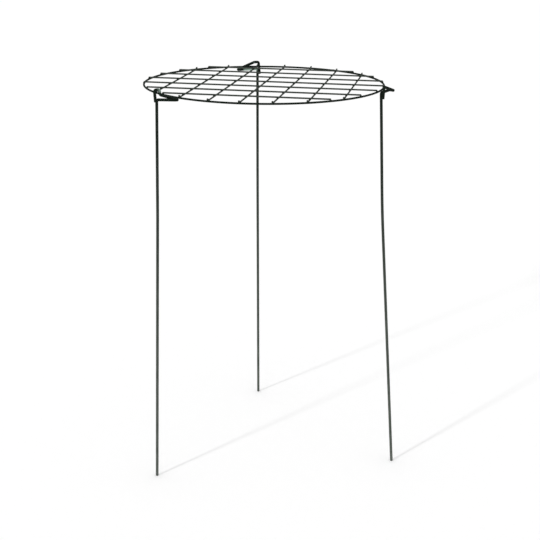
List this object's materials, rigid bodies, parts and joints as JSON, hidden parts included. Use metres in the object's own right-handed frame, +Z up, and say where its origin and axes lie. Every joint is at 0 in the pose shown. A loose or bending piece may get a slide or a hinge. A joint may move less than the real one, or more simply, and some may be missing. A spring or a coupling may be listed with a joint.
{
  "type": "plant support ring stake",
  "caption": "Round wire ring with a square wire grid that plants grow up through, held level above the ground by wire stakes that clip onto the ring and push into soil.",
  "frame": {"origin": "on the ground, under the middle of the ring", "axes": "+Z up; the grid's top wires run along X and its lower wires along Y"},
  "size_m": [0.4478, 0.4124, 0.6752],
  "materials": {
    "ring_coat": "steel wire with a dark green coat, dull satin",
    "grid_coat": "thin steel wire with a dark green coat, dull satin",
    "stake_coat": "thick steel wire with a dark green coat, dull satin"
  },
  "bodies": {
    "frame": {"ring": "ring_coat", "top_wire_1": "grid_coat", "top_wire_2": "grid_coat", "top_wire_3": "grid_coat", "top_wire_4": "grid_coat", "top_wire_5": "grid_coat", "top_wire_6": "grid_coat", "top_wire_7": "grid_coat", "lower_wire_1": "grid_coat", "lower_wire_2": "grid_coat", "lower_wire_3": "grid_coat", "lower_wire_4": "grid_coat", "lower_wire_5": "grid_coat", "lower_wire_6": "grid_coat", "lower_wire_7": "grid_coat"},
    "left_leg": {"left_stake": "stake_coat"},
    "back_leg": {"back_stake": "stake_coat"},
    "right_leg": {"right_stake": "stake_coat"}
  },
  "joints": [
    {"name": "left_tilt", "type": "hinge", "parent": "frame", "child": "left_leg", "pos_m": [-0.14671, -0.13592, 0.665], "axis": [-0.6796, 0.7336, 0], "range_deg": [-8, 8]},
    {"name": "back_tilt", "type": "hinge", "parent": "frame", "child": "back_leg", "pos_m": [-0.05019, 0.1936, 0.665], "axis": [0.968, 0.251, 0], "range_deg": [-8, 8]},
    {"name": "right_tilt", "type": "hinge", "parent": "frame", "child": "right_leg", "pos_m": [0.19834, -0.02573, 0.665], "axis": [-0.1286, -0.9917, 0], "range_deg": [-8, 8]}
  ]
}
